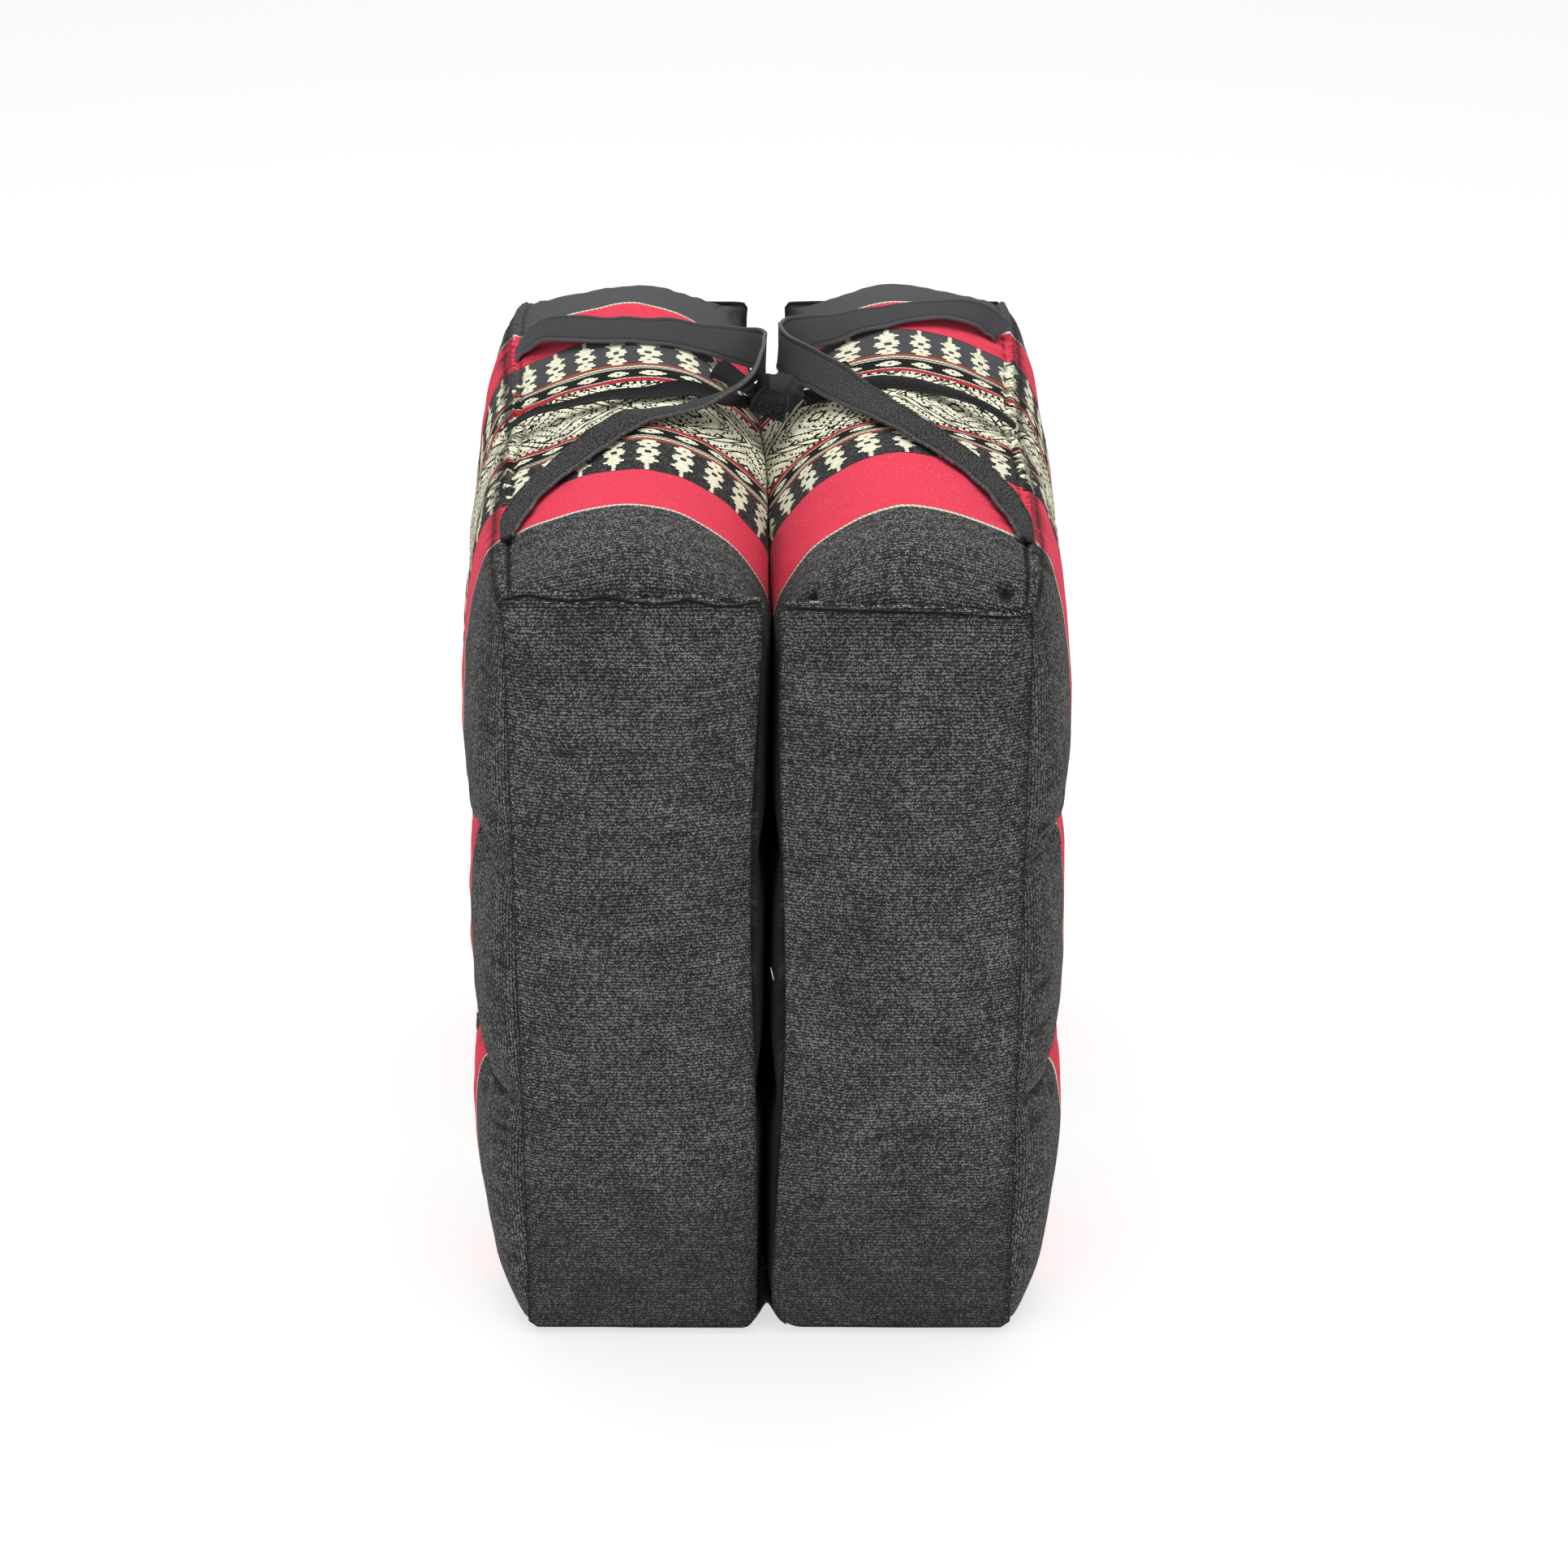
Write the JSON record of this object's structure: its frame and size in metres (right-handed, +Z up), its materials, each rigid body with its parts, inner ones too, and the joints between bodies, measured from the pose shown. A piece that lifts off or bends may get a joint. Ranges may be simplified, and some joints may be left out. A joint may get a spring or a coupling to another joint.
{
  "type": "cushion",
  "caption": "Folding yoga cushion standing closed: two filled, channelled halves in patterned cloth with black ends, tape handles and knotted ribbon ties",
  "frame": {"origin": "on the floor under the middle of the bounding box", "axes": "+Z up, +X across the two halves, from the left one to the right one, +Y along the fold, away from the viewer"},
  "size_m": [0.33, 0.424, 0.4923],
  "materials": {
    "woven_cloth": "matt banded weave, red, black and cream",
    "black_cloth": "matt plain weave",
    "black_tape": "twill tape",
    "black_ribbon": "soft ribbon"
  },
  "bodies": {
    "root": {"cushion_left": "woven_cloth", "cushion_right": "woven_cloth", "panel_near_left": "black_cloth", "panel_near_right": "black_cloth", "panel_far_left": "black_cloth", "panel_far_right": "black_cloth", "hinge_strip": "black_cloth", "handle_left": "black_tape", "handle_right": "black_tape", "tie_left": "black_ribbon", "tie_right": "black_ribbon", "tie_knot": "black_ribbon", "tie_end_left": "black_ribbon", "tie_end_right": "black_ribbon", "tie_end_hanging": "black_ribbon"}
  },
  "joints": []
}
